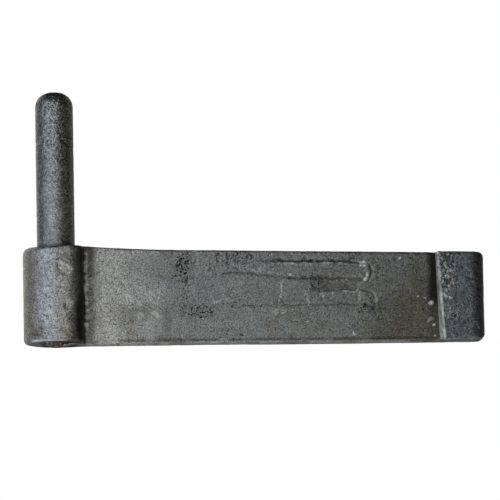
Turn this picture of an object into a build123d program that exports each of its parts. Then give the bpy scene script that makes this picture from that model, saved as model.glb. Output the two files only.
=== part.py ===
from build123d import *
from math import cos, radians, sin
import os

# Pintle of a forged strap hinge: a flat bar rolled round an upright pin, its far end folded back on itself.
# Millimetres. The origin is on the pin's axis, level with the shoulder that the door's own eye rests on.
# +Z runs up the pin, +X along the strap towards the folded heel, and +Y towards the strap's flat back.

# Pin
pin_diameter = 16.0
pin_reach = 63.9  # from the shoulder up to the tip
pin_tip_round = 6.5
tenon_step = 0.3  # how much smaller in radius the pin is inside the eye than above it
tenon_bevel = 1.0  # on the pin's lower end

# Bar that makes the eye, the strap and the heel
bar_thickness = 6.3
root_height = 42.8  # bar's height at the eye
heel_height = 38.0  # bar's height at its far end
strap_length = 161.3  # from the pin's axis to the free end of the heel's flap
heel_length = 20.0  # from the flap's free end to the outside of the fold
flare_length = 41.5  # stretch over which the top edge sweeps up to the eye's height
flare_drop = 2.1  # how far the top edge comes down over that stretch
scarf_thickness = 3.3  # bar's drawn-down tip, where the roll closes on the strap
shoulder_round = 7.0  # where the roll's last quarter turns from the eye's front to its tip
edge_round = 1.0
heel_corner_round = 3.5

# Clearances
pin_clearance = 0.05  # radial gap between the pin's tenon and the eye
tip_gap = 0.4  # open seam between the rolled tip and the strap
hem_gap = 0.3  # open seam between the heel's flap and the strap

# Weld that holds the pin from below
weld_depth = 4.0  # from the bar's lower edge up to the pin's lower end
weld_recess = 0.4  # from the bar's lower edge up to the weld's lowest point
weld_round = 2.0

# The pin and the bore round it
pin_radius = pin_diameter / 2
tenon_radius = pin_radius - tenon_step
bore_radius = tenon_radius + pin_clearance
eye_radius = bore_radius + bar_thickness

# The bar in plan: its front and back faces, the rolled tip and the fold
strap_front = bore_radius
strap_back = eye_radius
tip_back = strap_front - tip_gap
tip_side = bore_radius + scarf_thickness
fold_radius = bar_thickness + hem_gap / 2
fold_middle = strap_front - hem_gap / 2
flap_back = strap_front - hem_gap
flap_front = flap_back - bar_thickness
heel_end = strap_length + heel_length
fold_start = heel_end - fold_radius

# The bar from the front: its level lower edge and its sloping upper edge
bottom = -root_height
heel_top = bottom + heel_height
root = tip_side + tip_gap
overrun = 0.5  # how far cutting shapes stand clear of the bar
upward = 0.9  # a face counts as an upper one when its normal has at least this much of +Z

# The roll's last quarter runs straight off the eye's front, then turns on its own shoulder to the tip.
shoulder_start = tip_side - shoulder_round
shoulder_middle = shoulder_round - eye_radius

os.makedirs("parts", exist_ok=True)


def rim_of(faces):
    """The edges round a group of touching faces, without the edges that two of them share."""
    sides = [edge for face in faces for edge in face.edges()]
    return [edge for edge in sides if sum(edge.is_same(other) for other in sides) == 1]


# Strap: the bar's plan, raised to full height and trimmed to its outline, with every long edge rounded
with BuildPart() as strap:
    with BuildSketch(Plane.XY.offset(bottom)):
        with BuildLine():
            Line((fold_start, strap_back), (0, strap_back))
            ThreePointArc((0, strap_back), (-eye_radius, 0), (0, -eye_radius))
            Line((0, -eye_radius), (shoulder_start, -eye_radius))
            CenterArc((shoulder_start, shoulder_middle), shoulder_round, 270, 90)
            Polyline(
                (tip_side, shoulder_middle),
                (tip_side, tip_back),
                (bore_radius, tip_back),
                (bore_radius, 0),
            )
            ThreePointArc((bore_radius, 0), (0, -bore_radius), (-bore_radius, 0))
            ThreePointArc(
                (-bore_radius, 0),
                (-bore_radius * cos(radians(45)), bore_radius * sin(radians(45))),
                (0, strap_front),
            )
            Line((0, strap_front), (fold_start, strap_front))
            ThreePointArc(
                (fold_start, strap_front),
                (fold_start + hem_gap / 2, fold_middle),
                (fold_start, flap_back),
            )
            Polyline(
                (fold_start, flap_back),
                (strap_length, flap_back),
                (strap_length, flap_front),
                (fold_start, flap_front),
            )
            ThreePointArc(
                (fold_start, flap_front),
                (heel_end, fold_middle),
                (fold_start, strap_back),
            )
        make_face()
    extrude(amount=root_height)

    with BuildSketch(Plane.XZ) as outline:
        with BuildLine():
            flare_foot = (root + flare_length, -flare_drop)
            upper = Line((heel_end + overrun, heel_top), flare_foot)
            TangentArc(flare_foot, (root, 0), tangent=upper % 1)
            Polyline(
                (root, 0),
                (-eye_radius - overrun, 0),
                (-eye_radius - overrun, bottom),
                (heel_end + overrun, bottom),
                (heel_end + overrun, heel_top),
            )
        make_face()
        heel_corners = outline.vertices().group_by(Axis.X)[-1]
        fillet(heel_corners, radius=heel_corner_round)
    extrude(amount=eye_radius + overrun, both=True, mode=Mode.INTERSECT)

    flap_corner = strap.edges().filter_by(Axis.Z).filter_by_position(Axis.X, strap_length, strap_length)
    fillet(flap_corner.sort_by(Axis.Y)[0], radius=edge_round)
    fillet(rim_of(strap.faces().group_by(Axis.Z)[0]), radius=edge_round)
    upper_faces = strap.faces().filter_by(lambda face: face.normal_at().Z > upward)
    fillet(rim_of(upper_faces), radius=edge_round)
strap.part.label = "strap"
export_step(strap.part, "parts/strap.step")


# Hinge pin: a domed working length, and a tenon that passes down through the eye
with BuildPart() as hinge_pin:
    with BuildSketch(Plane.XY.offset(bottom + weld_depth)):
        Circle(tenon_radius)
    extrude(amount=root_height - weld_depth)
    chamfer(hinge_pin.edges().group_by(Axis.Z)[0], length=tenon_bevel)
    with BuildSketch(Plane.XY):
        Circle(pin_radius)
    extrude(amount=pin_reach)
    fillet(hinge_pin.edges().group_by(Axis.Z)[-1], radius=pin_tip_round)
hinge_pin.part.label = "hinge_pin"
export_step(hinge_pin.part, "parts/hinge_pin.step")


# Pin weld: a plug in the eye's mouth, under the tenon, with a rounded lower rim
with BuildPart() as pin_weld:
    with BuildSketch(Plane.XY.offset(bottom + weld_recess)):
        Circle(bore_radius)
    extrude(amount=weld_depth - weld_recess)
    fillet(pin_weld.edges().group_by(Axis.Z)[0], radius=weld_round)
pin_weld.part.label = "pin_weld"
export_step(pin_weld.part, "parts/pin_weld.step")
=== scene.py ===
import bpy
import math
import numpy as np
from mathutils import Matrix, Vector


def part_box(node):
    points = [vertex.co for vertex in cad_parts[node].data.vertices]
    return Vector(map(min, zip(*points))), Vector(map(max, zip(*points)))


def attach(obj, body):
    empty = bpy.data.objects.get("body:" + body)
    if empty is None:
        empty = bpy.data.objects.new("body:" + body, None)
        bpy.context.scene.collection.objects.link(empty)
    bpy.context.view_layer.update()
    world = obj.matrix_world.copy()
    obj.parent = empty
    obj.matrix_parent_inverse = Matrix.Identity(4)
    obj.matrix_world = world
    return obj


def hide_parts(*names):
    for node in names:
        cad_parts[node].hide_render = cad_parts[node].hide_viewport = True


# The visual model of a forged strap hinge's fixed half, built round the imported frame.
# Lengths in this file are millimetres; meshes are written in metres by to_mesh().
# x runs along the strap, y towards its flat back and z up the pin, as in the frame.

MM = 0.001

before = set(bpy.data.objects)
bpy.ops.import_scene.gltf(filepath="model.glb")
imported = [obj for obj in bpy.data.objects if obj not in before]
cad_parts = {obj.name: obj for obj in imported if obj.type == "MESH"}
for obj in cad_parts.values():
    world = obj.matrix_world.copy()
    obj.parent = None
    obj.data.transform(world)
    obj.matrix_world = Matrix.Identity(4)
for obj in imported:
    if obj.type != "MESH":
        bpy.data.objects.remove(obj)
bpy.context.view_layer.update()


def box_mm(node):
    """A CAD node's lowest and highest corners, in millimetres."""
    low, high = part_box(node)
    return [c / MM for c in low], [c / MM for c in high]


strap_low, strap_high = box_mm("strap")
pin_low, pin_high = box_mm("hinge_pin")
weld_high = box_mm("pin_weld")[1]

# Sizes that the frame gives
PIN_RADIUS = pin_high[0]
PIN_TOP = pin_high[2]
BORE_RADIUS = weld_high[0]
EYE_RADIUS = -strap_low[0]
BAR = EYE_RADIUS - BORE_RADIUS
BOTTOM = strap_low[2]
HEEL_END = strap_high[0]
FACE = BORE_RADIUS
BACK = strap_high[1]

# Sizes of the forged bar that the boxes don't give
PIN_TIP_ROUND = 6.5
SCARF = 3.3
SHOULDER_ROUND = 7
TIP_GAP = 0.4
HEM_GAP = 0.3
FLAP_END = 161.3
FOLD_RADIUS = BAR + HEM_GAP / 2
FOLD_START = HEEL_END - FOLD_RADIUS
FOLD_Y = FACE - HEM_GAP / 2
FLAP_FRONT = FACE - HEM_GAP - BAR
TIP_SIDE = BORE_RADIUS + SCARF
TIP_BACK = FACE - TIP_GAP
ROOT = TIP_SIDE + TIP_GAP
FLARE_END = ROOT + 41.5
FLARE_DROP = 2.1
HEEL_TOP = BOTTOM + 38
HEEL_CORNER = 2


# ---------------- noise and shape helpers


LATTICE_PRIMES = (0x9E3779B185EBCA87, 0xC2B2AE3D27D4EB4F, 0x165667B19E3779F9)


def lattice(cells, seed):
    """A repeatable random number from 0 to 1 for each whole-number cell."""
    x, y, z = (cells[..., k].astype(np.uint64) * np.uint64(prime) for k, prime in enumerate(LATTICE_PRIMES))
    h = x ^ y ^ z
    h ^= np.uint64(seed * 7919 + 101)
    h = (h ^ (h >> np.uint64(29))) * np.uint64(0xBF58476D1CE4E5B9)
    h = (h ^ (h >> np.uint64(32))) * np.uint64(0x94D049BB133111EB)
    h = h ^ (h >> np.uint64(29))
    return (h >> np.uint64(11)).astype(np.float64) / float(1 << 53)


def noise(points, size, seed=0):
    """Smooth noise from -1 to 1 whose bumps are about size millimetres across."""
    p = np.asarray(points) / size + 1000
    cell = np.floor(p).astype(np.int64)
    f = p - cell
    f = f * f * f * (f * (f * 6 - 15) + 10)
    total = np.zeros(p.shape[:-1])
    for dx in (0, 1):
        for dy in (0, 1):
            for dz in (0, 1):
                w = (
                    (f[..., 0] if dx else 1 - f[..., 0])
                    * (f[..., 1] if dy else 1 - f[..., 1])
                    * (f[..., 2] if dz else 1 - f[..., 2])
                )
                total += w * lattice(cell + np.array((dx, dy, dz)), seed)
    return total * 2 - 1


def layered(points, size, octaves, seed=0, gain=0.5):
    """Several sizes of noise added, each half as large as the last."""
    total, strength, weight = 0, 1, 0
    for k in range(octaves):
        total = total + strength * noise(points, size / 2**k, seed + 17 * k)
        weight += strength
        strength *= gain
    return total / weight


def smooth(low, high, value):
    """0 below low, 1 above high, and a smooth ramp between."""
    t = np.clip((value - low) / (high - low), 0, 1)
    return t * t * (3 - 2 * t)


def fade(low, high, value):
    """1 below low, 0 above high, and a smooth ramp between."""
    return 1 - smooth(low, high, value)


def segment_distance(x, z, a, b):
    ax, az = a
    dx, dz = b[0] - ax, b[1] - az
    t = np.clip(((x - ax) * dx + (z - az) * dz) / (dx * dx + dz * dz), 0, 1)
    return np.hypot(x - ax - t * dx, z - az - t * dz)


def path_distance(x, z, points):
    """Distance from each (x, z) to an open line through points."""
    return np.min([segment_distance(x, z, a, b) for a, b in zip(points, points[1:])], axis=0)


def inside(x, z, points):
    """True where (x, z) is inside the closed outline points."""
    result = np.zeros(np.shape(x), bool)
    for (ax, az), (bx, bz) in zip(points, points[1:] + points[:1]):
        if az == bz:
            continue
        crosses = (az > z) != (bz > z)
        result ^= crosses & (x < (bx - ax) * (z - az) / (bz - az) + ax)
    return result


def outline_depth(x, z, points):
    """Distance to a closed outline, positive inside it and negative outside."""
    d = path_distance(x, z, points + points[:1])
    return np.where(inside(x, z, points), d, -d)


# ---------------- the bar's path and outline


def top_edge(x):
    """Height of the bar's upper edge along the strap."""
    slope = (HEEL_TOP + FLARE_DROP) / (HEEL_END - FLARE_END)
    straight = -FLARE_DROP + slope * (x - FLARE_END)
    t = np.clip((FLARE_END - x) / (FLARE_END - ROOT), 0, 1)
    rise = FLARE_DROP + slope * (FLARE_END - ROOT)
    return straight + rise * t * t


def eye_outer(angle):
    """Distance from the pin's axis to the eye's outer side, along a ray at this angle."""
    c, s = math.cos(angle), math.sin(angle)
    cx, cy = TIP_SIDE - SHOULDER_ROUND, SHOULDER_ROUND - EYE_RADIUS
    if -angle < math.atan2(-cy, TIP_SIDE):
        return TIP_SIDE / c
    if -angle < math.atan2(EYE_RADIUS, cx):
        along = cx * c + cy * s
        return along + math.sqrt(along**2 - cx * cx - cy * cy + SHOULDER_ROUND**2)
    return EYE_RADIUS / -s if -angle < math.pi / 2 else EYE_RADIUS


def bar_stations(step):
    """Points on the bar's inner and outer side in plan, from the rolled tip round to the flap's end.

    The third list says how many degrees round the eye each is: 0 on the tip, 270 from the eye's back onwards.
    """
    inner, outer, turned = [], [], []

    def add(a, b, degrees):
        inner.append(a)
        outer.append(b)
        turned.append(degrees)

    rows = round(TIP_BACK / step)
    depths = [0] + [END_ROUND - d for d in END_STEPS]
    depths += [END_ROUND + (TIP_BACK - END_ROUND) * k / rows for k in range(rows)]
    for d in depths:
        add((BORE_RADIUS, TIP_BACK - d), (TIP_SIDE, TIP_BACK - d), 0)
    turns = round(1.5 * math.pi * (EYE_RADIUS - 1) / step)
    for k in range(turns):
        a = -1.5 * math.pi * k / turns
        r = eye_outer(a)
        c, s = math.cos(a), math.sin(a)
        add((BORE_RADIUS * c, BORE_RADIUS * s), (r * c, r * s), 270 * k / turns)
    rows = round(FOLD_START / step)
    for k in range(rows):
        x = FOLD_START * k / rows
        add((x, FACE), (x, BACK), 270)
    turns = round(math.pi * FOLD_RADIUS / step)
    for k in range(turns):
        a = math.pi / 2 - math.pi * k / turns
        c, s = math.cos(a), math.sin(a)
        seam = (FOLD_START + HEM_GAP / 2 * c, FOLD_Y + HEM_GAP / 2 * s)
        add(seam, (FOLD_START + FOLD_RADIUS * c, FOLD_Y + FOLD_RADIUS * s), 270)
    rows = round((FOLD_START - FLAP_END) / step)
    ends = [FOLD_START + (FLAP_END + END_ROUND - FOLD_START) * k / rows for k in range(rows)]
    ends += [FLAP_END + END_ROUND] + [FLAP_END + d for d in END_STEPS] + [FLAP_END]
    for x in ends:
        add((x, FACE - HEM_GAP), (x, FLAP_FRONT), 270)
    return np.array(inner), np.array(outer), np.array(turned)


# ---------------- meshes


def to_mesh(name, points, faces, masks, material):
    """A smooth-shaded mesh object from points in millimetres, with one float attribute per mask."""
    mesh = bpy.data.meshes.new(name)
    mesh.from_pydata((np.asarray(points) * MM).tolist(), [], faces)
    mesh.validate()
    for key, values in masks.items():
        layer = mesh.attributes.new(key, "FLOAT", "POINT")
        layer.data.foreach_set("value", np.asarray(values, np.float32))
    mesh.polygons.foreach_set("use_smooth", [True] * len(mesh.polygons))
    mesh.materials.append(material)
    piece = bpy.data.objects.new(name, mesh)
    bpy.context.collection.objects.link(piece)
    return piece


def grid_faces(stations, around):
    i, j = np.meshgrid(np.arange(stations - 1), np.arange(around), indexing="ij")
    k = (j + 1) % around
    quads = np.stack([i * around + j, (i + 1) * around + j, (i + 1) * around + k, i * around + k], axis=-1)
    return quads.reshape(-1, 4).tolist()


def end_cap(first, ring, rows, across, flip):
    """Faces that close one end: the ring's two sides joined by across points per row, numbered from first."""
    k, c = np.arange(rows)[:, None], np.arange(across)
    grid = np.hstack([ring + k, first + k * across + c, ring + across + 2 * rows - 1 - k])
    quads = np.stack([grid[:-1, :-1], grid[:-1, 1:], grid[1:, 1:], grid[1:, :-1]], axis=-1)
    faces = quads.reshape(-1, 4).tolist()
    upper, under = ring + rows + c, ring + 2 * (rows + across) - 1 - c
    for row, edge, way in ((grid[-1], upper, 1), (grid[0], under, -1)):
        strip = [(row[0], row[1], edge[0]), (row[-2], row[-1], edge[-1])]
        strip += [(row[i + 1], row[i + 2], edge[i + 1], edge[i]) for i in range(across - 1)]
        faces += [tuple(int(n) for n in face[::way]) for face in strip]
    return [face[::-1] for face in faces] if flip else faces


SIDE_ROWS = 84
CORNER_POINTS = 4
FLAT_POINTS = 7
STATION_STEP = 0.57
END_ROUND = 0.8
END_STEPS = (0.6, 0.35, 0.15, 0.04)

# What forging and wear have done to the bar's height, which the CAD solid keeps level
LOW_LIFT = 0.38
FLAP_LIFT = 0.7
EYE_TURNS = (0, 65, 100, 180, 230, 270)
EYE_TOP_DROP = (0.9, 1.2, 1.5, 1.5, 0.7, 0)
EYE_LOW_LIFT = (1.3, 1.55, 1.55, 0.8, 0.3, 0)
EYE_TOP_ROUND = (1.2, 1.2, 1.4, 2.9, 2.6, 1.2)
EYE_LOW_ROUND = (0.9, 0.8, 0.8, 2.2, 2.2, 1.3)
# Painted light on the lower edge: how steeply it faces down, and how bright its painted glint is there
LOW_EDGE_PAINTED_GLINT = ((0, 0.19, 0.56, 0.83, 0.98, 1), (0, 0.6, 0.08, 0.55, 0.2, 0.25))


def bar_section(thick, low, high, rounds):
    """The bar's section at every station: how far across and how high each point is, and its facing."""
    in_top, out_top, out_low, in_low = (r[:, None] for r in rounds)
    thick, low, high = thick[:, None], low[:, None], high[:, None]
    side = np.linspace(0, 1, SIDE_ROWS)[None]
    flat = ((np.arange(FLAT_POINTS) + 0.5) / FLAT_POINTS)[None]
    turn = ((np.arange(CORNER_POINTS) + 0.5) / CORNER_POINTS * math.pi / 2)[None]
    s, c = np.sin(turn), np.cos(turn)
    parts = [
        (0, low + in_low + side * (high - in_top - low - in_low), -1, 0),
        (in_top * (1 - c), high - in_top * (1 - s), -c, s),
        (in_top + flat * (thick - in_top - out_top), high, 0, 1),
        (thick - out_top * (1 - s), high - out_top * (1 - c), s, c),
        (thick, high - out_top + side * (low + out_low - high + out_top), 1, 0),
        (thick - out_low * (1 - c), low + out_low * (1 - s), c, -s),
        (thick - out_low - flat * (thick - out_low - in_low), low, 0, -1),
        (in_low * (1 - s), low + in_low * (1 - c), -s, -c),
    ]
    widths = [SIDE_ROWS, CORNER_POINTS, FLAT_POINTS, CORNER_POINTS] * 2
    columns = []
    for k in range(4):
        column = [
            np.broadcast_to(np.asarray(p[k], float), (len(thick), w)) for p, w in zip(parts, widths)
        ]
        columns.append(np.concatenate(column, axis=1))
    return columns


def corner_drop(x):
    """How far the heel's rounded corner falls away from the edge at x."""
    into = np.clip(x - (HEEL_END - HEEL_CORNER), 0, HEEL_CORNER)
    return HEEL_CORNER - np.sqrt(HEEL_CORNER**2 - into**2)


def spots(x, z, places, reach, depth):
    """Round dents added up: each place is (x, z), with its own reach and depth."""
    total = np.zeros(np.shape(x))
    for (px, pz), r, d in zip(places, reach, depth):
        near = (np.abs(x - px) < 2.5 * r) & (np.abs(z - pz) < 2.5 * r)
        total[near] += d * np.exp(-(((x[near] - px) ** 2 + (z[near] - pz) ** 2) / (r * r)) ** 1.5)
    return total


def scatter(count, x_range, z_range, reach, depth, seed):
    """Seeded random dents in a rectangle: places, reaches and depths."""
    rng = np.random.default_rng(seed)
    places = np.column_stack([rng.uniform(*x_range, count), rng.uniform(*z_range, count)])
    return places, rng.uniform(*reach, count), rng.uniform(*depth, count)


def line_mark(x, z, points, width):
    """1 on a line through points, falling to 0 at width from it."""
    return fade(0, width, path_distance(x, z, points))


# Where the marks of forging lie on the strap's front, as (x, z) in millimetres
UPPER_LAP = [
    (70.6, -12.3), (73.8, -12), (78.3, -12.4), (85.2, -12.9), (90.3, -13.7), (98.9, -14.7),
    (111, -15.2), (120, -15.4), (127.5, -15.6), (131.6, -16.2), (132.8, -14.6), (133.1, -12),
    (132.9, -9.9), (131.5, -8.6), (128.7, -8.7), (121.5, -7.9), (111.9, -7.5), (103, -7.5),
    (94, -7.2), (86, -6.6), (78, -8.2),
]
LOWER_LAP = [
    (78.3, -26.2), (90.3, -26.3), (103, -26.4), (115, -26.1), (127.5, -26.4), (133.6, -26),
    (135.3, -24.4), (134.9, -22.4), (134, -20.9), (130.5, -20.6), (128, -20.3), (122.1, -20.1),
    (114.3, -20.3), (111, -21.2), (104, -23.6), (92, -24.8),
]
LAP_BOTTOM = UPPER_LAP[:10]
LAP_TOP = UPPER_LAP[13:19]
LAP_END = UPPER_LAP[9:15]
SHELF_BOTTOM = LOWER_LAP[:5]
SHELF_TOP = LOWER_LAP[9:14]
SHELF_END = LOWER_LAP[5:9]
SHELF_ARC = [(127.5, -20.3), (128.2, -21.2), (128.5, -22.6), (128.3, -24.2)]
FOLD_MARK = [(72.3, -4.1), (73.3, -6.9), (72, -8)]
FOLD_TAIL = [(74.7, -10.1), (76.6, -10.9), (78.3, -12.2)]
CHATTER = [(60.5, -27), (69, -24), (76, -23.2)]
RING = (64.3, -11.3)
RING_RADIUS = 1.7
SCALY_PATCH = [
    (108, -14.6), (116, -15.6), (128, -16.4), (128, -19.7), (117, -20), (110.5, -20.8), (107.5, -18),
]


def moved(line, dx, dz):
    """A line shifted along x and z."""
    return [(x + dx, z + dz) for x, z in line]


# Dark cuts at the laps' edges: line, width, depth
LAP_CUTS = (
    (LAP_BOTTOM, 0.6, 0.3), (LAP_TOP, 0.7, 0.42), (LAP_END, 0.85, 0.5), (SHELF_BOTTOM, 0.5, 0.22),
    (SHELF_TOP, 0.5, 0.2), (FOLD_MARK, 0.6, 0.25), (FOLD_TAIL, 0.5, 0.22),
)
# Crests beside them, pale partly with rubbed wear and partly as painted highlight: line, width, brightness
LAP_CRESTS = (
    (moved(LAP_END, -1.1, 0.1), 0.8, 1.7), (moved(LAP_TOP, 0, -0.9), 0.6, 1.3),
    (moved(SHELF_TOP, 0, -0.7), 0.5, 1.1), (SHELF_END[1:], 0.75, 1.8), (SHELF_ARC, 0.6, 1.5),
)
# Pale scratches: line, width, brightness
SCRATCHES = (
    ([(96.2, -14.8), (95.2, -17.5), (94.9, -21.1), (94.1, -23.7), (94, -27.6)], 0.42, 0.5),
    ([(90.3, -29.6), (96, -29.5)], 0.4, 0.9),
    ([(92, -28.4), (95.9, -28.3)], 0.4, 0.8),
    ([(96.6, -28.6), (98, -29.2)], 0.4, 0.7),
    ([(105.6, -21.8), (106, -24), (106.6, -26.6)], 0.4, 0.6),
)
# Broken dark lines: line, width, strength
BREAKS = (
    ([(130, -26.3), (132, -26.8), (134.6, -27.9), (136.2, -29)], 1, 0.7),
    ([(139.3, -24.7), (142.5, -22.4), (145.3, -20)], 0.45, 0.4),
)
# Pitted and scaly patches: middle, reach, strength
PITTED_PATCHES = (
    ((53.5, -10), (4.5, 8.5), 1.3), ((52.5, -24), (3.5, 5), 0.6), ((60, -28), (8.5, 3.6), 0.9),
    ((76, -6), (9, 3.4), 0.6), ((65, -10.5), (6, 3.6), 0.4), ((74, -24.5), (8.5, 2.8), 0.65),
    ((90.5, -6), (6.5, 2.4), 0.55), ((111, -18), (4.6, 3.2), 0.85), ((122, -18.3), (8, 2.2), 0.3),
    ((115, -7.4), (18, 1.3), 0.8), ((136.5, -11), (4, 4), 0.6), ((134, -27.6), (6, 2.3), 0.8),
    ((157, -26), (4, 4), 0.6), ((74, -39.5), (9, 1.6), 0.7), ((27, -20), (20, 26), 0.3),
    ((100, -20), (70, 22), 0.16),
)
# Fields of seeded dents: how many, their range along x and z, seed
DENT_FIELDS = (
    (26, (49, 58), (-17, -3), 61), (26, (53, 68), (-31, -25), 62), (36, (68, 84), (-9, -3), 64),
    (50, (107.5, 116), (-20.5, -13), 68), (24, (98, 131), (-8.4, -6.4), 70),
    (18, (128, 140), (-30, -25.5), 72), (90, (12, 160), (-42, -1), 74),
)
# Dirty stains: middle, reach, strength
STAINS = (((32, -31), (7, 8), 0.2), ((47, -31.5), (3.2, 7), 0.22), ((38, -9), (4, 6), 0.1))
# Pale flecks: place, radius
PALE_FLECKS = (
    ((125.4, -38.3), 0.55), ((126, -38.9), 0.45), ((145.7, -6.8), 0.5), ((98.8, -13.3), 0.5),
    ((113, -22.5), 0.35), ((105.8, -33.2), 0.35), ((153.1, -23.2), 0.3), ((156.2, -23.9), 0.3),
    ((159.7, -35.3), 0.5), ((159.9, -40), 0.3),
)
# Crumbs of scale at the flap's foot: place, radius, brightness
CRUMBS = (
    ((158.9, -26.4), 1.05, 0.95), ((158.6, -25.4), 0.5, 0.95),
    ((158.5, -32.6), 1.1, 0.3), ((157.4, -33.3), 0.7, 0.3),
)
# On the flap's front
HEEL_NICKS = (
    [(164, -9.7), (164.8, -11.8)], [(166, -12.2), (166.5, -13)], [(165, -14.8), (165.3, -15.5)],
    [(162.6, -17.4), (162.9, -17.8)], [(165.4, -19), (165.6, -19.6)], [(164.2, -20.8), (164.5, -21.4)],
    [(163.2, -22.4), (164.4, -23.9)], [(165.6, -24.1), (166.4, -24.6)],
)
HEEL_LINE = [(177.2, -35.9), (178.3, -37.4)]
# On the eye's front
FACET = [(-0.5, -7.9), (4.6, -9.4), (6.6, -11.4), (4.1, -14.3), (0, -11.4)]
EYE_CUTS = (
    [(0.9, -12.3), (2.5, -13.8)], [(1.3, -6.8), (5.3, -9.5)], [(0.9, -4.6), (5.9, -7.9)],
    [(-0.4, -7.6), (1, -6.4)], [(2.8, -31.6), (5.6, -29.1)], [(3.9, -32.6), (6.6, -29.9)],
    [(5, -33.4), (7.4, -31)], [(6.2, -33.9), (8, -32.2)], [(-8.2, -32.6), (-6.2, -33.1)],
    [(-8, -35.4), (-6.4, -35.9)], [(-5.9, -30), (-4.8, -30.6)],
)
EYE_DENT = (4.1, -25.8)
EYE_DENT_RADIUS = 2.6


class Marks:
    """Relief (positive stands out of the face) and material masks, gathered over a set of points."""

    def __init__(self, points):
        self.points = points
        self.x, self.z = points[:, 0], points[:, 2]
        self.relief, self.dark, self.worn, self.rust, self.pitted, self.wrinkled = np.zeros((6, len(points)))

    def paint(self, mask, amount):
        """Raise a mask to amount wherever it is less."""
        setattr(self, mask, np.maximum(getattr(self, mask), amount))

    def patches(self, low, high, size, seed):
        """Soft-edged patches: 1 where noise of this size is above high, 0 where it is below low."""
        return smooth(low, high, noise(self.points, size, seed))


def lap_marks(m, x, z):
    """The two laps: raised plates with dark cuts at their edges, and crests beside them, pale partly with
    rubbed wear and partly as painted highlight.
    """
    m.relief += (0.12 + 0.42 * smooth(72, 98, m.x)) * smooth(-0.1, 1.3, outline_depth(x, z, UPPER_LAP))
    m.relief += (0.1 + 0.3 * smooth(88, 118, m.x)) * smooth(-0.1, 1.1, outline_depth(x, z, LOWER_LAP))
    for line, width, depth in LAP_CUTS:
        cut = line_mark(x, z, line, width)
        m.relief -= depth * cut
        m.paint("dark", cut)
    patchy = 0.45 + 0.4 * m.patches(-0.35, 0.35, 3, 55)
    m.dark *= patchy + 0.15 * m.patches(-0.2, 0.3, 1.2, 50)
    # Crests: partly rubbed wear, partly painted highlight
    for line, width, brightness in LAP_CRESTS:
        shine = brightness * line_mark(x, z, line, width)
        shine *= 0.3 + 0.7 * m.patches(-0.15, 0.2, 1.5, 56)
        m.relief += 0.12 * shine
        m.paint("worn", np.minimum(shine, 1))


def scratch_marks(m, x, z, jitter):
    """Pale scratches, and dark lines that break off and start again."""
    for line, width, brightness in SCRATCHES:
        scratch = line_mark(m.x + 0.5 * jitter[:, 0], m.z + 0.5 * jitter[:, 1], line, width)
        m.paint("worn", brightness * scratch * m.patches(-0.6, 0.1, 1.6, 57))
        m.relief -= 0.08 * scratch
    for line, width, strength in BREAKS:
        cut = strength * line_mark(x, z, line, width) * m.patches(-0.2, 0.3, 1.1, 58)
        m.relief -= 0.25 * cut
        m.paint("dark", cut)


def pit_marks(m, x, z):
    """Pitted patches, fields of dents and the scaly hollow between the laps."""
    for middle, reach, strength in PITTED_PATCHES:
        away = np.hypot((x - middle[0]) / reach[0], (z - middle[1]) / reach[1])
        m.paint("pitted", strength * fade(0.55, 1.15, away + 0.25 * noise(m.points, 2.6, 63)))
    for count, xs, zs, seed in DENT_FIELDS:
        dents = spots(m.x, m.z, *scatter(count, xs, zs, (0.35, 0.65), (0.06, 0.26), seed))
        m.relief -= dents
        m.paint("dark", np.clip(dents * 2.2, 0, 0.6))
    scaly = smooth(-0.4, 1.2, outline_depth(x, z, SCALY_PATCH))
    m.relief -= scaly * (0.22 + 0.16 * layered(m.points, 1.7, 2, 59))
    m.paint("rust", 0.25 * scaly * m.patches(-0.5, 0.4, 2.6, 60))
    m.paint("dark", 0.2 * scaly)


def small_marks(m, x, z):
    """A ring-shaped nick with a painted highlight on its left half, rows of light chatter, slanting scuffs,
    pale flecks and crumbs of scale.
    """
    dx, dz = m.x - RING[0], m.z - RING[1]
    ring = np.abs(np.hypot(dx * 1.25 - 0.3 * dz, dz) - RING_RADIUS)
    m.relief -= 0.22 * fade(0, 0.6, ring)
    # Painted highlight on the left half of the ring's edge only
    m.paint("worn", 0.5 * fade(0, 0.5, ring) * smooth(0, 1.2, RING[0] + 0.4 - m.x))
    chatter = line_mark(m.x, m.z, CHATTER, 1.3) * m.patches(0.05, 0.5, 1.1, 76)
    m.paint("worn", 0.42 * chatter)
    m.relief += 0.1 * chatter
    slanted = np.stack([m.x + m.z, m.points[:, 1], (m.x - m.z) * 0.22], axis=-1)
    scuffs = smooth(0.25, 0.6, noise(slanted, 1.3, 77))
    scuffs *= smooth(32, 35, m.x) * fade(42, 46, m.x)
    scuffs *= smooth(-33, -30, m.z) * fade(-21, -17, m.z)
    m.paint("worn", 0.36 * scuffs)
    m.relief -= 0.06 * scuffs
    for (fx, fz), radius in PALE_FLECKS:
        fleck = fade(0.5 * radius, 1.15 * radius, np.hypot(m.x - fx, (m.z - fz) * 0.8))
        m.relief += 0.16 * fleck
        m.paint("worn", fleck)
    for (fx, fz), radius, brightness in CRUMBS:
        crumb = fade(0.3 * radius, 1.2 * radius, np.hypot(x - fx, z - fz))
        m.relief += 0.5 * crumb
        m.paint("rust", 0.7 * crumb)
        m.paint("worn", brightness * crumb)


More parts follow.
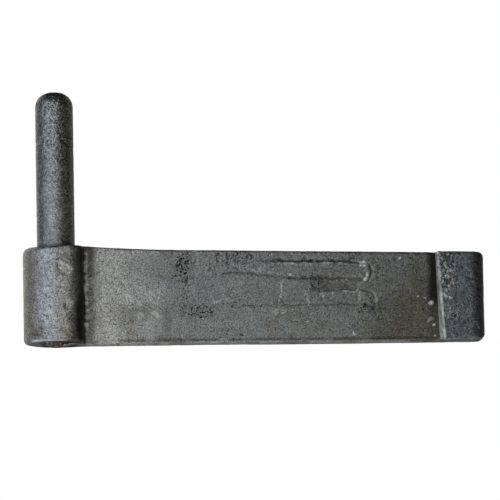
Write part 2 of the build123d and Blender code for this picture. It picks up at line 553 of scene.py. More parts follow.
def root_marks(m, jitter):
    """Beside the eye: a ragged raised lip, rust-tinted scale, painted shade in the crease against the eye,
    and a mottled band of dark scale and painted shade beyond it.
    """
    line = ROOT + 1.2 + 0.35 * noise(m.points, 5, 78) + 0.25 * jitter[:, 0]
    away = np.abs(m.x - line - 0.5 * noise(m.points, 2.2, 85))
    lip = fade(0.1, 1.2, away) * m.patches(-0.45, 0.25, 6.5, 79)
    lip *= m.patches(-0.5, 0.1, 1.5, 83)
    m.relief += 0.3 * lip
    m.paint("worn", lip)
    tint = smooth(ROOT + 1, ROOT + 2.4, m.x) * fade(15, 17.5, m.x) * smooth(-13, -4, m.z)
    m.paint("rust", 0.6 * tint * m.patches(-0.4, 0.5, 2.4, 80))
    # Painted shade in the crease against the eye, except on the lip
    m.paint("dark", fade(ROOT + 0.2, ROOT + 1.6, m.x) * (1 - lip))
    # A mottled band beside the crease: partly dark scale, partly painted shade cast by the eye
    shade = smooth(ROOT + 1, ROOT + 2, m.x) * fade(ROOT + 3, ROOT + 6, m.x)
    m.paint("dark", 0.4 * shade * m.patches(-0.4, 0.4, 5, 82))
    m.paint("dark", 0.55 * shade * m.patches(0, 0.45, 1.3, 84))


def dirt_and_corner_shade(m, wander):
    """Stains, a dirty line above the lower edge, and painted shade in the corner at the flap."""
    for middle, reach, strength in STAINS:
        away = np.hypot((m.x - middle[0]) / reach[0], (m.z - middle[1]) / reach[1])
        m.paint("dark", strength * fade(0.3, 1.1, away + 0.35 * noise(m.points, 3.5, 86)))
    height = BOTTOM + 2.1 + LOW_LIFT * fade(50, 125, m.x)
    dirty = fade(0.2, 0.8, np.abs(m.z - height))
    m.paint("dark", 0.6 * dirty * m.patches(-0.5, 0.3, 5, 81))
    # Painted shade in the corner where the strap meets the flap, weaker towards the bottom
    corner = smooth(FLAP_END - 5, FLAP_END - 2, m.x + 1.2 * wander[:, 0])
    m.paint("dark", 0.95 * corner * (1 - 0.6 * smooth(-22, -32, m.z)))


def strap_marks(points):
    """The strap's front, from the marks listed above, with every outline wandering a little."""
    m = Marks(points)
    wander = np.stack([noise(points, 2.2, 51), noise(points, 2.2, 52)], axis=-1) * 0.45
    jitter = np.stack([noise(points, 0.9, 53), noise(points, 0.9, 54)], axis=-1) * 0.35
    x = m.x + wander[:, 0] + jitter[:, 0]
    z = m.z + wander[:, 1] + jitter[:, 1]
    lap_marks(m, x, z)
    scratch_marks(m, x, z, jitter)
    pit_marks(m, x, z)
    small_marks(m, x, z)
    root_marks(m, jitter)
    dirt_and_corner_shade(m, wander)
    return m


def heel_marks(points):
    """The flap's front: wrinkled scale near its free end, nicks with painted shadows beside them, and a pale
    scratch.
    """
    m = Marks(points)
    upper = fade(166, 173, m.x + 1.5 * noise(points, 4, 90)) * smooth(-26, -16, m.z)
    lower = fade(1.5, 4.5, np.hypot((m.x - 166.5) * 0.8, m.z + 31))
    m.wrinkled = np.maximum(upper, 0.8 * lower)
    wrinkles = np.abs(layered(points * np.array((1, 1, 0.75)), 1.9, 2, 91))
    m.relief -= m.wrinkled * 0.4 * fade(0, 0.2, wrinkles)
    m.dark = 0.45 * m.wrinkled * fade(0, 0.14, wrinkles)
    m.worn = 0.2 * m.wrinkled * smooth(0.28, 0.5, wrinkles)
    m.pitted = 0.12 + 0.2 * m.wrinkled
    for line in HEEL_NICKS:
        nick = line_mark(m.x, m.z, line, 0.7)
        m.relief += 0.18 * nick
        m.paint("worn", nick)
        # Painted shadow just right of and below each raised nick
        m.paint("dark", 0.7 * line_mark(m.x - 0.7, m.z + 0.3, line, 0.55) * (1 - nick))
    pale = line_mark(m.x, m.z, HEEL_LINE, 0.45)
    m.paint("worn", 0.9 * pale)
    dents = spots(m.x, m.z, *scatter(70, (162, 180), (-41, -5), (0.3, 0.8), (0.04, 0.2), 92))
    m.paint("dark", np.clip(dents * 2.2, 0, 0.7))
    m.relief -= dents + 0.05 * pale
    return m


def eye_marks(points):
    """The front of the eye: a hammered facet, a round dent, cuts, pits, and a flank painted near-black as
    shade where it turns into the crease.
    """
    m = Marks(points)
    front = smooth(-3, -7, points[:, 1])
    facet = outline_depth(m.x, m.z, FACET)
    flat = smooth(-0.3, 0.7, facet) * front
    m.relief -= 0.42 * flat
    m.paint("worn", 0.16 * flat)
    rim = fade(0, 0.5, np.abs(facet + 0.1)) * front
    m.paint("worn", 0.6 * rim * m.patches(-0.2, 0.4, 1.8, 101))
    for line in EYE_CUTS:
        cut = line_mark(m.x, m.z, line, 0.5) * front
        m.relief -= 0.22 * cut
        m.paint("dark", 0.8 * cut)
    away = np.hypot(m.x - EYE_DENT[0], (m.z - EYE_DENT[1]) * 0.8)
    hollow = fade(0.6, EYE_DENT_RADIUS, away) * front
    m.relief -= 0.5 * hollow
    m.paint("worn", 0.1 * hollow)
    scorch = smooth(3.5, 6.5, m.x) * smooth(-28.5, -31, m.z) * m.patches(-0.5, 0.2, 1.5, 102)
    m.paint("dark", 0.6 * front * scorch)
    around = np.arctan2(points[:, 1], m.x) * EYE_RADIUS
    dents = spots(around, m.z, *scatter(200, (-44, 6), (-42, -2), (0.3, 0.6), (0.04, 0.2), 103))
    dents += spots(around, m.z, *scatter(60, (14, 44), (-42, -2), (0.3, 0.8), (0.04, 0.2), 104))
    m.paint("dark", np.clip(dents * 2.4, 0, 0.7))
    m.relief -= dents * (1 - flat)
    m.pitted = 0.24 * (1 - flat)
    # Painted shade: the eye's right flank goes near-black towards the crease
    start = 5 + 1.7 * smooth(-26, -20, m.z) + 0.9 * noise(points, 6, 105)
    seam = smooth(0, 4.2, m.x - start) * fade(FACE + 2, FACE + 3, points[:, 1])
    m.paint("dark", seam * (0.92 + 0.08 * noise(points, 3, 106)))
    m.worn *= 1 - seam
    return m


def steel_relief(points):
    """The forged skin everywhere: hammering, shallow waves and orange peel, always below the CAD face."""
    broad = 0.07 * layered(points, 24, 2, 1) + 0.035 * noise(points, 7, 5)
    peel = 0.03 * noise(points, 2.1, 6) + 0.03 * noise(points, 1.1, 7)
    return np.minimum(-0.13 + broad + peel, 0)


def bar_edges(x_mid, x_out, turned, flap):
    """How low and high the bar reaches at every station, and how round its four corners are."""
    on_eye = turned < 270
    low = BOTTOM + corner_drop(x_out) + np.interp(turned, EYE_TURNS, EYE_LOW_LIFT)
    low += LOW_LIFT * fade(50, 125, x_out) * ~on_eye * smooth(0, 12, x_out)
    low += FLAP_LIFT * flap * smooth(FOLD_START - 14, FOLD_START + 2, x_mid)
    top = top_edge(np.maximum(x_out, ROOT)) - corner_drop(x_out)
    top -= np.interp(turned, EYE_TURNS, EYE_TOP_DROP)
    rounds = [
        np.full(len(turned), 1.1),
        np.where(on_eye, np.interp(turned, EYE_TURNS, EYE_TOP_ROUND), 1.2),
        np.where(on_eye, np.interp(turned, EYE_TURNS, EYE_LOW_ROUND), 1.3),
        np.where(on_eye, 1, 1.6),
    ]
    return low, top, rounds


def wear_edges(points, normals, masks, eye, eye_side):
    """Rubbed long edges; on the lower edge a broken band of painted glint with a line of painted shade, and
    painted shade behind and under the eye.
    """
    edge = np.abs(normals[:, 2])
    edge_wear = smooth(0.25, 0.7, edge) * fade(0.85, 0.98, edge)
    masks["worn"] = np.maximum(masks["worn"], 0.5 * edge_wear * smooth(-0.3, 0.5, noise(points, 3.5, 130)))
    # The eye's lower front rim: a painted glint on its left part and painted shade on its right part
    low_rim = eye_side & (normals[:, 2] < -0.15) & (normals[:, 2] > -0.9) & (points[:, 1] < -8)
    painted_shade_right = smooth(2, 5, points[low_rim, 0])
    masks["bare_and_glint"][low_rim] = (0.8 + 0.35 * noise(points[low_rim], 2.5, 131)) * (1 - painted_shade_right)
    masks["dark"][low_rim] = 0.8 * painted_shade_right
    # Painted shade on the downward faces under the eye's back and right side
    under_eye = eye & (normals[:, 2] < -0.2) & (points[:, 1] > -8) & (points[:, 0] > -6)
    masks["worn"][under_eye] = 0
    masks["dark"][under_eye] = 0.85
    # Lower edge of strap and flap: a broken band of painted glint set by how steeply it faces down, a thin
    # line of painted shade, and painted shade under the eye's root
    below = ~eye & (normals[:, 1] < 0.3) & (normals[:, 2] < -0.2)
    steep = -normals[below, 2]
    broken = smooth(-0.7, 0.1, noise(points[below] * np.array((0.3, 1, 1)), 2.5, 132))
    pale = np.interp(steep, *LOW_EDGE_PAINTED_GLINT)
    behind_eye = points[below, 0] < ROOT + 0.8
    masks["bare_and_glint"][below] = pale * (0.35 + 0.65 * broken) * ~behind_eye
    masks["dark"][below] = np.where(behind_eye, 0.9, 0.35 * (np.abs(steep - 0.56) < 0.1))


def forged_bar(material):
    """The strap: the bar's section carried along its path, hammered, lapped, dented and pitted."""
    inner, outer, turned = bar_stations(STATION_STEP)
    stations = len(inner)
    across_dir = outer - inner
    thickness = np.hypot(*across_dir.T)
    across_dir = across_dir / thickness[:, None]
    middle = (inner + outer) / 2
    x_mid, y_mid = middle.T
    along = np.gradient(middle, axis=0)
    along /= np.hypot(*along.T)[:, None]
    x_out = np.maximum(outer[:, 0], inner[:, 0])

    on_eye = turned < 270
    flap = (y_mid < FOLD_Y) & (x_mid > FLAP_END - 1)
    across, height, face_across, face_up = bar_section(thickness, *bar_edges(x_mid, x_out, turned, flap))
    plan = inner[:, None, :] + across[..., None] * across_dir[:, None, :]
    points = np.concatenate([plan, height[..., None]], axis=-1)
    normals = np.concatenate([face_across[..., None] * across_dir[:, None, :], face_up[..., None]], axis=-1)

    # both ends of the bar are drawn in on a small round
    run = np.concatenate([[0], np.cumsum(np.hypot(*np.diff(middle, axis=0).T))])
    for distance in (run, run[-1] - run):
        into = END_ROUND - np.sqrt(np.maximum(END_ROUND**2 - np.maximum(END_ROUND - distance, 0) ** 2, 0))
        points -= normals * into[:, None, None]

    # the flap's end leans, and its foot steps out towards the lower edge
    lean = np.clip((points[..., 2] - BOTTOM) / (HEEL_TOP - BOTTOM), 0, 1)
    depth = np.clip((FACE - HEM_GAP - points[..., 1]) / BAR, 0, 1)
    shift = (0.5 - 1.1 * lean) * (1 - depth) + (1.7 - 2.5 * lean) * depth
    near_end = (flap * fade(0, 9, x_mid - FLAP_END))[:, None]
    points[..., 0] += shift * near_end

    faces = grid_faces(stations, points.shape[1])
    ring = points.shape[1]
    cap_columns = 2 * CORNER_POINTS + FLAT_POINTS
    caps, cap_normals = [], []
    for i, way in ((0, -1), (stations - 1, 1)):
        left = points[i, :SIDE_ROWS]
        right = points[i, SIDE_ROWS + cap_columns : 2 * SIDE_ROWS + cap_columns][::-1]
        t = ((np.arange(cap_columns) + 1) / (cap_columns + 1))[None, :, None]
        caps.append((left[:, None] * (1 - t) + right[:, None] * t).reshape(-1, 3))
        facing = np.array((*(along[i] * way), 0))
        cap_normals.append(np.broadcast_to(facing, caps[-1].shape))
    total = stations * ring
    faces += end_cap(total, 0, SIDE_ROWS, cap_columns, True)
    faces += end_cap(total + len(caps[0]), (stations - 1) * ring, SIDE_ROWS, cap_columns, False)
    station = [np.repeat(np.arange(stations), ring), np.zeros(len(caps[0]), int)]
    station = np.concatenate([*station, np.full(len(caps[1]), stations - 1)])
    points = np.concatenate([points.reshape(-1, 3), *caps])
    normals = np.concatenate([normals.reshape(-1, 3), *cap_normals])

    eye = on_eye[station]
    shift = steel_relief(points)
    masks = {key: np.zeros(len(points)) for key in ("dark", "worn", "rust", "pitted", "wrinkled")}
    strap_front = ~eye & ~flap[station] & (normals[:, 1] < -0.3) & (points[:, 0] > TIP_SIDE)
    heel_front = flap[station] & (normals[:, 1] < -0.3)
    eye_side = eye & (np.hypot(points[:, 0], points[:, 1]) > BORE_RADIUS + 1.5)
    for where, marks in ((strap_front, strap_marks), (heel_front, heel_marks), (eye_side, eye_marks)):
        found = marks(points[where])
        shift[where] += found.relief * np.abs(normals[where][:, :2]).max(axis=1)
        for key, values in masks.items():
            values[where] = getattr(found, key)
    end_face = np.zeros(len(points), bool)
    end_face[total + len(caps[0]) :] = True
    end_face[(stations - 6) * ring : total] = True
    shift[end_face] += 0.1 * layered(points[end_face], 2.6, 2, 120)
    shift[total:] = 0.03 + 0.08 * layered(points[total:], 2.6, 2, 122)
    masks["bare_and_glint"] = np.zeros(len(points))
    masks["dark"][end_face] = 0
    masks["worn"][end_face] = 0
    # The flap's cut end is painted pale, partly as bare cut metal and partly as a painted highlight of its
    # lit face
    masks["bare_and_glint"][end_face] = 0.85 - 0.4 * smooth(0.15, 0.55, noise(points[end_face], 1.6, 121))
    masks["pitted"][end_face] = 0.3
    elsewhere = ~strap_front & ~heel_front & ~eye_side & ~end_face
    masks["pitted"][elsewhere] = 0.3
    outside = ~strap_front & ~heel_front & ~end_face
    shift[outside] = np.minimum(shift[outside], 0)
    points = points + normals * shift[:, None]

    wear_edges(points, normals, masks, eye, eye_side)
    return to_mesh("forged_bar", points, faces, masks, material)


# ---------------- pin and weld


PIN_COLUMNS = 132
PIN_STEP = 0.4
PIN_FOOT = -2.8  # how far the pin keeps its full radius below the shoulder, behind the eye's worn rim


def lathe(profile, columns):
    """Points on a closed turned shape, ring by ring, with one point at each end, and its faces."""
    angle = np.arange(columns) / columns * 2 * math.pi
    rings = [
        np.column_stack([r * np.cos(angle), r * np.sin(angle), np.full(columns, z)]) for r, z in profile[1:-1]
    ]
    points = np.concatenate([[(0, 0, profile[0][1])], *rings, [(0, 0, profile[-1][1])]])
    faces = []
    count = len(rings)
    for j in range(columns):
        k = (j + 1) % columns
        faces.append((0, 1 + j, 1 + k))
        for i in range(count - 1):
            a, b = 1 + i * columns, 1 + (i + 1) * columns
            faces.append((a + j, b + j, b + k, a + k))
        last = 1 + (count - 1) * columns
        faces.append((last + k, last + j, len(points) - 1))
    return points, faces


def pin_normals(points):
    """Outward directions on the pin: level on its wall and tipping over on its domed end."""
    above = np.maximum(points[:, 2] - (PIN_TOP - PIN_TIP_ROUND), 0) / PIN_TIP_ROUND
    reach = np.hypot(points[:, 0], points[:, 1])
    flat = points[:, :2] / np.maximum(reach, 1e-9)[:, None]
    side = np.sqrt(np.clip(1 - above**2, 0, 1))
    side = np.where(points[:, 2] < weld_high[2] + 0.5, np.minimum(reach / BORE_RADIUS, 1), side)
    return np.column_stack([flat * side[:, None], np.sqrt(1 - side**2) * np.sign(points[:, 2])])


def pitted_pin(material):
    """The round pin: domed tip, corroded skin, and a slimmer tenon inside the eye."""
    crown = PIN_RADIUS - PIN_TIP_ROUND
    tenon = BORE_RADIUS - 0.05
    profile = [(0, PIN_TOP)]
    profile += [(crown * k / 4, PIN_TOP) for k in range(1, 4)]
    arc = round(PIN_TIP_ROUND * math.pi / 2 / PIN_STEP)
    for k in range(arc + 1):
        a = math.pi / 2 * k / arc
        profile.append((crown + PIN_TIP_ROUND * math.sin(a), PIN_TOP - PIN_TIP_ROUND * (1 - math.cos(a))))
    rows = round((PIN_TOP - PIN_TIP_ROUND - PIN_FOOT) / PIN_STEP)
    start = PIN_TOP - PIN_TIP_ROUND
    profile += [(PIN_RADIUS, start + (PIN_FOOT - start) * k / rows) for k in range(1, rows + 1)]
    profile += [(tenon, PIN_FOOT - 0.2)]
    profile += [(tenon, z) for z in np.arange(PIN_FOOT - 2.2, pin_low[2] + 1.2, -2)]
    profile += [(tenon, pin_low[2] + 1), (tenon - 1, pin_low[2])]
    profile += [(tenon / 2, pin_low[2]), (0, pin_low[2])]
    points, faces = lathe(profile, PIN_COLUMNS)
    faces = [tuple(reversed(f)) for f in faces]
    angle = np.arctan2(points[:, 1], points[:, 0])
    around = angle * PIN_RADIUS
    normals = pin_normals(points)
    exposed = points[:, 2] > PIN_FOOT - 0.1
    rough = 0.35 + 0.65 * smooth(12, 48, points[:, 2] + 6 * noise(points, 9, 201))
    skin = -0.07 + 0.03 * layered(points, 14, 2, 202) + 0.015 * noise(points, 3.2, 206)
    holes = smooth(0.12, 0.62, layered(points, 1.35, 2, 203))
    wide = smooth(0.2, 0.6, noise(points, 2.3, 204))
    skin -= rough * (0.12 * holes + 0.03 * wide)
    pits = np.zeros(len(points))
    for wrap in (-1, 0, 1):
        places, reach, depth = scatter(420, (-25.1, 25.1), (-2, 62), (0.3, 0.75), (0.06, 0.26), 205)
        places = places + np.array((wrap * 2 * math.pi * PIN_RADIUS, 0))
        pits += spots(around, points[:, 2], places, reach, depth)
    pits *= 0.35 + 0.65 * smooth(5, 50, points[:, 2])
    skin = np.where(exposed, skin - pits, 0)
    points = points + normals * np.minimum(skin, 0)[:, None]
    dark = np.clip(0.75 * rough**2 * holes + 1.6 * pits, 0, 1) * exposed
    foot = fade(-2, 0.6, points[:, 2]) * exposed
    worn = 0.08 * smooth(0.1, 0.6, noise(points, 6, 207)) * (1 - holes) * exposed
    masks = {"dark": np.maximum(0.6 * dark, 0.95 * foot), "worn": worn, "pitted": 0.12 + 0.4 * rough**2}
    return to_mesh("pitted_pin", points, faces, masks, material)


WELD_REACH = 11.2
WELD_RINGS = 42
WELD_COLUMNS = 96


def weld_mound(material):
    """The rough weld under the pin's lower end, run out over the eye's mouth and left short on one side."""
    angle = np.arange(WELD_COLUMNS) / WELD_COLUMNS * 2 * math.pi
    unit = np.column_stack([np.cos(angle), np.sin(angle)])
    ragged = noise(np.column_stack([unit * 6, np.zeros(WELD_COLUMNS)]), 4, 301)
    front = np.clip(-unit[:, 1], 0, 1)
    right = smooth(0.2, 0.8, unit[:, 0])
    reach = BORE_RADIUS - 0.3 + (WELD_REACH - BORE_RADIUS) * front * (1 - 0.25 * right) + 0.35 * ragged
    points = [(0, 0, BOTTOM + 0.35)]
    for i in range(1, WELD_RINGS + 1):
        t = i / WELD_RINGS
        r = reach * t
        p = np.column_stack([unit * r[:, None], np.zeros(WELD_COLUMNS)])
        crown = 1 - np.clip((r - 5.2) / (reach - 5.2), 0, 1) ** 2
        rise = 0.3 + 2.3 * (1 - crown)
        void = smooth(1.6, 3.4, p[:, 0] + 0.8 * noise(p, 2.2, 302))
        void *= 1 - smooth(BORE_RADIUS - 1.6, BORE_RADIUS, r)
        lumps = 0.32 * layered(p, 2.4, 3, 303) + 0.12 * noise(p, 0.9, 304)
        p[:, 2] = np.maximum(BOTTOM + rise + 2.4 * void + lumps, BOTTOM + 0.04)
        points += p.tolist()
    last = 1 + (WELD_RINGS - 1) * WELD_COLUMNS
    upper = [(x * 0.8, y * 0.8, weld_high[2]) for x, y, _ in points[last:]]
    points += upper + [(0, 0, weld_high[2])]
    faces = []
    for j in range(WELD_COLUMNS):
        k = (j + 1) % WELD_COLUMNS
        faces.append((0, 1 + k, 1 + j))
        for i in range(WELD_RINGS):
            a, b = 1 + i * WELD_COLUMNS, 1 + (i + 1) * WELD_COLUMNS
            faces.append((a + k, b + k, b + j, a + j))
        faces.append((last + WELD_COLUMNS + j, last + WELD_COLUMNS + k, len(points) - 1))
    points = np.array(points)
    rust = smooth(-0.5, 0.4, layered(points, 3, 2, 305))
    # Painted shade: the right side, where the weld is left short and recessed, is painted near-black
    dark = smooth(1, 3, points[:, 0] + noise(points, 2, 306)) * 0.95
    # Painted glints: bright grains on the weld wherever it is not painted dark
    worn = smooth(0.45, 0.75, noise(points, 0.9, 307)) * (1 - dark)
    return to_mesh("weld_mound", points, faces, {"dark": dark, "worn": worn, "rust": rust}, material)


# ---------------- materials


class Shader:
    """A material's node tree, with short ways to add and join nodes."""

    def __init__(self, name):
        self.material = bpy.data.materials.new(name)
        self.material.use_nodes = True
        self.tree = self.material.node_tree
        self.surface = self.tree.nodes["Principled BSDF"]
        place = self.add("ShaderNodeTexCoord").outputs["Object"]
        scale = self.add("ShaderNodeVectorMath", operation="SCALE")
        self.join(place, scale.inputs[0])
        scale.inputs["Scale"].default_value = 1 / MM
        self.place = scale.outputs[0]

    def add(self, kind, **settings):
        node = self.tree.nodes.new(kind)
        for key, value in settings.items():
            setattr(node, key, value)
        return node

    def join(self, source, target):
        if isinstance(source, (int, float)):
            target.default_value = source
        elif isinstance(source, tuple):
            target.default_value = (*source, 1)
        else:
            self.tree.links.new(source, target)

    def noise(self, size, detail=2, roughness=0.5, offset=0, squash=(1, 1, 1)):
        """Noise whose grain is about size millimetres, from 0 to 1."""
        shift = self.add("ShaderNodeMapping")
        shift.inputs["Location"].default_value = (offset, offset * 0.7, -offset)
        shift.inputs["Scale"].default_value = squash
        self.join(self.place, shift.inputs["Vector"])
        node = self.add("ShaderNodeTexNoise")
        self.join(shift.outputs[0], node.inputs["Vector"])
        node.inputs["Scale"].default_value = 1 / size
        node.inputs["Detail"].default_value = detail
        node.inputs["Roughness"].default_value = roughness
        return node.outputs["Fac"]

    def pits(self, size, radius, growth, amount, offset):
        """1 inside round pits about size millimetres apart, wider where amount is more, and 0 outside."""
        shift = self.add("ShaderNodeMapping")
        shift.inputs["Location"].default_value = (offset, -offset, offset * 0.6)
        self.join(self.place, shift.inputs["Vector"])
        node = self.add("ShaderNodeTexVoronoi")
        self.join(shift.outputs[0], node.inputs["Vector"])
        node.inputs["Scale"].default_value = 1 / size
        level = self.minus(node.outputs["Distance"], self.times(amount, growth))
        return self.between(level, radius, radius + 0.07, 1, 0)

    def threads(self, size, width, offset):
        """1 on wandering thin lines whose loops are about size millimetres across."""
        level = self.math("ABSOLUTE", self.minus(self.noise(size, 1, 0.5, offset), 0.5))
        return self.between(level, 0, width, 1, 0)

    def mask(self, name):
        return self.add("ShaderNodeAttribute", attribute_name=name).outputs["Fac"]

    def math(self, operation, a, b=0):
        node = self.add("ShaderNodeMath", operation=operation)
        self.join(a, node.inputs[0])
        self.join(b, node.inputs[1])
        return node.outputs[0]

    def times(self, a, b):
        return self.math("MULTIPLY", a, b)

    def plus(self, a, b):
        return self.math("ADD", a, b)

    def minus(self, a, b):
        return self.math("SUBTRACT", a, b)

    def most(self, a, b):
        return self.math("MAXIMUM", a, b)

    def between(self, value, low, high, to_low=0, to_high=1):
        """value carried from low..high to to_low..to_high, and held there."""
        node = self.add("ShaderNodeMapRange")
        self.join(value, node.inputs["Value"])
        for key, number in zip(("From Min", "From Max", "To Min", "To Max"), (low, high, to_low, to_high)):
            node.inputs[key].default_value = number
        return node.outputs[0]

    def blend(self, factor, a, b, kind="MIX"):
        node = self.add("ShaderNodeMix", data_type="RGBA", blend_type=kind)
        self.join(factor, node.inputs["Factor"])
        self.join(a, node.inputs["A"])
        self.join(b, node.inputs["B"])
        return node.outputs["Result"]

    def along(self, axis):
        split = self.add("ShaderNodeSeparateXYZ")
        self.join(self.place, split.inputs[0])
        return split.outputs[axis]

    def bump(self, height, distance, strength=1, under=None):
        node = self.add("ShaderNodeBump")
        node.inputs["Distance"].default_value = distance * MM
        node.inputs["Strength"].default_value = strength
        self.join(height, node.inputs["Height"])
        if under is not None:
            self.join(under, node.inputs["Normal"])
        return node.outputs[0]

    def grey(self, value):
        """A 0-to-1 number as a grey colour."""
        node = self.add("ShaderNodeCombineColor")
        for key in ("Red", "Green", "Blue"):
            self.join(value, node.inputs[key])
        return node.outputs[0]


def steel_finish(s, colour, speckle, base_rough, pit_bump):
    """What all the steel shares: speckle, pits, dirt with painted shade, pale rubbed marks with painted
    glints, rust and a finely broken skin.
    """
    fine = s.noise(0.62, 2, 0.6, 3)
    grain = s.noise(1.5, 2, 0.55, 11)
    mottle = s.noise(7.5, 3, 0.6, 23)
    tone = s.plus(s.times(fine, 0.78), s.times(grain, 0.22))
    shade = s.between(tone, 0.38, 0.62, 1 - speckle, 1 + speckle)
    shade = s.times(shade, s.between(mottle, 0.3, 0.7, 0.92, 1.08))
    colour = s.blend(1, colour, s.grey(shade), "MULTIPLY")
    rust, dark, worn, bare_and_glint, pitted, wrinkled = (
        s.mask(key) for key in ("rust", "dark", "worn", "bare_and_glint", "pitted", "wrinkled")
    )
    small = s.times(s.pits(1.1, 0.14, 0.13, pitted, 57), s.between(pitted, 0.05, 0.5))
    deep = s.times(s.pits(1.9, 0.04, 0.16, pitted, 59), s.between(pitted, 0.5, 0.9))
    hole = s.most(small, deep)
    crease = s.times(s.threads(1.7, 0.05, 63), wrinkled)
    ridge = s.times(s.threads(1.5, 0.035, 67), wrinkled)
    dark = s.math("MINIMUM", s.plus(dark, s.most(hole, crease)), 1)
    worn = s.most(worn, s.times(ridge, 0.9))
    rust_colour = s.blend(s.noise(1.8, 3, 0.6, 31), (0.085, 0.045, 0.03), (0.23, 0.15, 0.10))
    colour = s.blend(rust, colour, rust_colour)
    # The dark colour covers real dirt, pits and cuts, and also painted shade in creases, corners and under
    # the eye
    colour = s.blend(s.times(dark, 0.95), colour, (0.016, 0.016, 0.014))
    # The pale colours cover rubbed and bare metal, and also painted glints and highlights
    wear_and_glint_tint = s.times(worn, s.between(fine, 0.3, 0.6, 0.6, 1))
    colour = s.blend(wear_and_glint_tint, colour, (0.97, 0.96, 0.93))
    colour = s.blend(bare_and_glint, colour, s.blend(grain, (0.50, 0.50, 0.49), (0.95, 0.95, 0.94)))
    s.join(colour, s.surface.inputs["Base Color"])
    metallic = s.minus(0.98, s.times(rust, 0.6))
    matt = s.most(s.times(wear_and_glint_tint, 0.5), s.times(bare_and_glint, 0.85))
    metallic = s.minus(metallic, matt)
    s.join(metallic, s.surface.inputs["Metallic"])
    rough = s.between(grain, 0.3, 0.7, base_rough - 0.07, base_rough + 0.09)
    rough = s.plus(rough, s.times(s.most(dark, rust), 0.25))
    rough = s.minus(rough, s.times(worn, 0.04))
    s.join(rough, s.surface.inputs["Roughness"])
    skin = s.bump(s.noise(0.5, 2, 0.6, 41), pit_bump * 0.7)
    skin = s.bump(s.noise(1, 3, 0.6, 47), pit_bump * 0.55, 1, skin)
    skin = s.bump(s.noise(3.2, 2, 0.5, 53), pit_bump * 0.2, 0.8, skin)
    skin = s.bump(s.minus(1, s.most(hole, crease)), 0.3, 1, skin)
    s.join(skin, s.surface.inputs["Normal"])
    return s.material


def forged_steel():
    """Oiled forging scale, blue-grey at the eye, browner and darker towards the heel, bluish on the flap;
    light and shade are painted in along x: a painted bluish sheen and a painted shaded flank on the eye, a
    painted pool of light beside the eye and a painted fall-off of light towards the heel.
    """
    s = Shader("forged_steel")
    x = s.along("X")
    drift = s.times(s.noise(16, 2, 0.5, 61), 24)
    x = s.plus(x, s.minus(drift, 12))
    wander = s.times(s.minus(s.noise(6, 2, 0.5, 62), 0.5), 9)
    near = s.plus(s.along("X"), wander)
    # Across the eye: a lighter left margin, a painted bluish sheen band, a neutral middle and a right flank
    # darkened as painted shade
    colour = s.blend(s.between(near, -13, -7), (0.45, 0.445, 0.42), (0.38, 0.395, 0.425))
    colour = s.blend(s.between(near, -4, 3), colour, (0.405, 0.4, 0.37))
    colour = s.blend(s.between(near, 2.5, 6.5), colour, (0.3, 0.295, 0.26))
    # Along the strap: a painted pool of light just beside the eye, then a painted fall-off of light that
    # darkens towards the heel
    colour = s.blend(s.between(x, 11, 18), colour, (0.57, 0.565, 0.54))
    colour = s.blend(s.between(x, 18, 48), colour, (0.28, 0.287, 0.281))
    colour = s.blend(s.between(x, 95, 140), colour, (0.207, 0.216, 0.205))
    brown_side = s.minus(x, s.times(s.along("Z"), 0.79))
    colour = s.blend(s.between(brown_side, 152, 172), colour, (0.145, 0.14, 0.11))
    colour = s.blend(s.between(s.along("X"), FLAP_END - 0.5, FLAP_END + 1), colour, (0.165, 0.185, 0.19))
    brown = s.between(s.noise(9, 3, 0.6, 71), 0.48, 0.68)
    lower = s.between(s.along("Z"), BOTTOM + 16, BOTTOM + 3)
    brown = s.times(brown, s.plus(0.25, s.times(lower, 0.6)))
    colour = s.blend(brown, colour, (0.2, 0.175, 0.14))
    return steel_finish(s, colour, 0.50, 0.30, 0.38)


def pin_steel():
    """The pin's corroded round stock: blue-grey skin with black pits, and an olive tint on its right side
    that is painted shade colour.
    """
    s = Shader("pin_steel")
    colour = s.blend(s.noise(6, 3, 0.6, 81), (0.25, 0.265, 0.28), (0.29, 0.30, 0.31))
    # Painted shade colour: the pin's right side is tinted olive by position along x
    side = s.plus(s.along("X"), s.times(s.noise(7, 2, 0.5, 82), 4))
    colour = s.blend(s.between(side, 0.5, 4), colour, (0.36, 0.36, 0.32))
    return steel_finish(s, colour, 0.52, 0.25, 0.32)


def weld_metal():
    """Burnt brown weld; its few bright grains are painted glints."""
    s = Shader("weld_metal")
    colour = s.blend(s.noise(1.6, 3, 0.6, 91), (0.12, 0.08, 0.06), (0.24, 0.2, 0.17))
    return steel_finish(s, colour, 0.4, 0.5, 0.3)


FLOOR_GLOW = 0.92


def pale_floor():
    """A pale studio floor, lifted for the camera alone so that it stays pale without lighting the metal."""
    s = Shader("pale_floor")
    tone = s.between(s.noise(60, 4, 0.55), 0.3, 0.7, 0.80, 0.84)
    s.join(s.grey(tone), s.surface.inputs["Base Color"])
    s.surface.inputs["Roughness"].default_value = 0.75
    s.join(s.bump(s.noise(2.5, 3, 0.5, 5), 0.05), s.surface.inputs["Normal"])
    glow = s.add("ShaderNodeEmission")
    s.join(s.grey(tone), glow.inputs["Color"])
    seen = s.times(s.add("ShaderNodeLightPath").outputs["Is Camera Ray"], FLOOR_GLOW)
    mix = s.add("ShaderNodeMixShader")
    s.join(seen, mix.inputs[0])
    s.join(s.surface.outputs[0], mix.inputs[1])
    s.join(glow.outputs[0], mix.inputs[2])
    s.join(mix.outputs[0], s.tree.nodes["Material Output"].inputs["Surface"])
    return s.material


# ---------------- stage, lights and camera


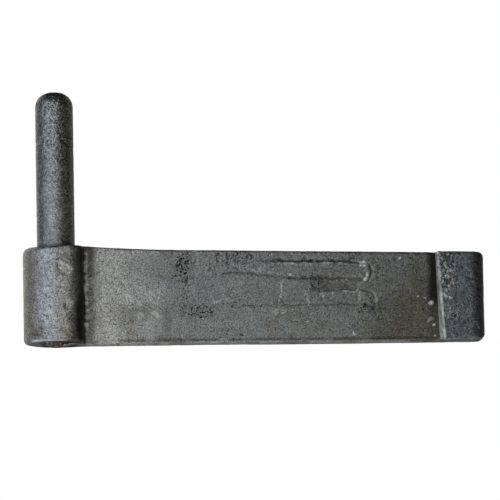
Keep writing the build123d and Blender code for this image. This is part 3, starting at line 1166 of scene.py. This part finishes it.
FLOOR_DEPTH = 215  # the view is from a little below the part, so the floor lies well under it
FLOOR_HALF = 6000
VIEW_AZIMUTH = -5
VIEW_ELEVATION = -4.5
VIEW_ROLL = -1.1
VIEW_DISTANCE = 1500
VIEW_TARGET = (81.4, 0, -3.3)
FOCAL_LENGTH = 257.1
SENSOR = 36
CENTRE = (82, 0, -10)


def floor():
    points = [(x * FLOOR_HALF, y * FLOOR_HALF, -FLOOR_DEPTH) for x, y in ((-1, -1), (1, -1), (1, 1), (-1, 1))]
    piece = to_mesh("floor", points, [(0, 1, 2, 3)], {}, pale_floor())


def aim(position, target, roll=0):
    """The place and turn of a camera or light at position that looks at target."""
    back = (Vector(position) - Vector(target)).normalized()
    turn = back.to_track_quat("Z", "Y").to_matrix().to_4x4()
    return Matrix.Translation(Vector(position) * MM) @ turn @ Matrix.Rotation(math.radians(roll), 4, "Z")


def camera():
    a, e = math.radians(VIEW_AZIMUTH), math.radians(VIEW_ELEVATION)
    back = Vector((math.sin(a) * math.cos(e), -math.cos(a) * math.cos(e), math.sin(e)))
    lens = bpy.data.cameras.new("camera")
    lens.sensor_width = SENSOR
    lens.lens = FOCAL_LENGTH
    piece = bpy.data.objects.new("camera", lens)
    piece.matrix_world = aim(Vector(VIEW_TARGET) + back * VIEW_DISTANCE, VIEW_TARGET, VIEW_ROLL)
    bpy.context.collection.objects.link(piece)
    bpy.context.scene.camera = piece


def soft_light(name, position, size, power, colour):
    """A rectangular light aimed at the middle of the part and unseen by the camera."""
    data = bpy.data.lights.new(name, "AREA")
    data.shape = "RECTANGLE"
    data.size, data.size_y = size[0] * MM, size[1] * MM
    data.energy = power
    data.color = colour
    piece = bpy.data.objects.new(name, data)
    piece.matrix_world = aim(position, CENTRE)
    piece.visible_camera = False
    bpy.context.collection.objects.link(piece)


ROOM_LIGHT = 0.025
BACKDROP_LIGHT = 0.08
BACKDROP_EDGE = (0.72, 0.95)  # how squarely behind the part a direction is where the glow starts and is full


def surroundings():
    """A white background for the camera, and for the metal a dim room with a faint glow behind the part."""
    world = bpy.data.worlds.new("studio")
    bpy.context.scene.world = world
    world.use_nodes = True
    nodes, links = world.node_tree.nodes, world.node_tree.links
    seen = nodes["Background"]
    seen.inputs["Color"].default_value = (1, 1, 1, 1)
    room = nodes.new("ShaderNodeBackground")
    place = nodes.new("ShaderNodeTexCoord")
    split = nodes.new("ShaderNodeSeparateXYZ")
    links.new(place.outputs["Generated"], split.inputs[0])
    backdrop = nodes.new("ShaderNodeMapRange")
    backdrop.interpolation_type = "SMOOTHSTEP"
    numbers = (*BACKDROP_EDGE, ROOM_LIGHT, BACKDROP_LIGHT)
    for key, number in zip(("From Min", "From Max", "To Min", "To Max"), numbers):
        backdrop.inputs[key].default_value = number
    links.new(split.outputs["Y"], backdrop.inputs["Value"])
    links.new(backdrop.outputs[0], room.inputs["Strength"])
    path = nodes.new("ShaderNodeLightPath")
    mix = nodes.new("ShaderNodeMixShader")
    links.new(path.outputs["Is Camera Ray"], mix.inputs[0])
    links.new(room.outputs[0], mix.inputs[1])
    links.new(seen.outputs[0], mix.inputs[2])
    links.new(mix.outputs[0], nodes["World Output"].inputs["Surface"])
    bpy.context.scene.view_settings.view_transform = "Standard"


# Each light's place, width and height, power in watts, and colour
LIGHTS = {
    "window": ((-546, -651, 90), (1200, 1500), 5.4, (0.86, 0.93, 1)),
    "key": ((-130, -800, 140), (320, 300), 0.6, (1, 0.99, 0.96)),
    "low_front": ((60, -200, -200), (1000, 160), 0.55, (1, 1, 0.98)),
    "back_right": ((700, 700, 260), (900, 1100), 0.55, (1, 1, 0.98)),
    "back_left": ((-600, 800, 200), (900, 1100), 1.9, (1, 1, 0.98)),
}


# ---------------- the scene

camera()
floor()
for name, settings in LIGHTS.items():
    soft_light(name, *settings)
surroundings()

bar = forged_bar(forged_steel())
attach(bar, "root")
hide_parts("strap")

pin = pitted_pin(pin_steel())
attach(pin, "root")
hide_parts("hinge_pin")

weld = weld_mound(weld_metal())
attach(weld, "root")
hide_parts("pin_weld")
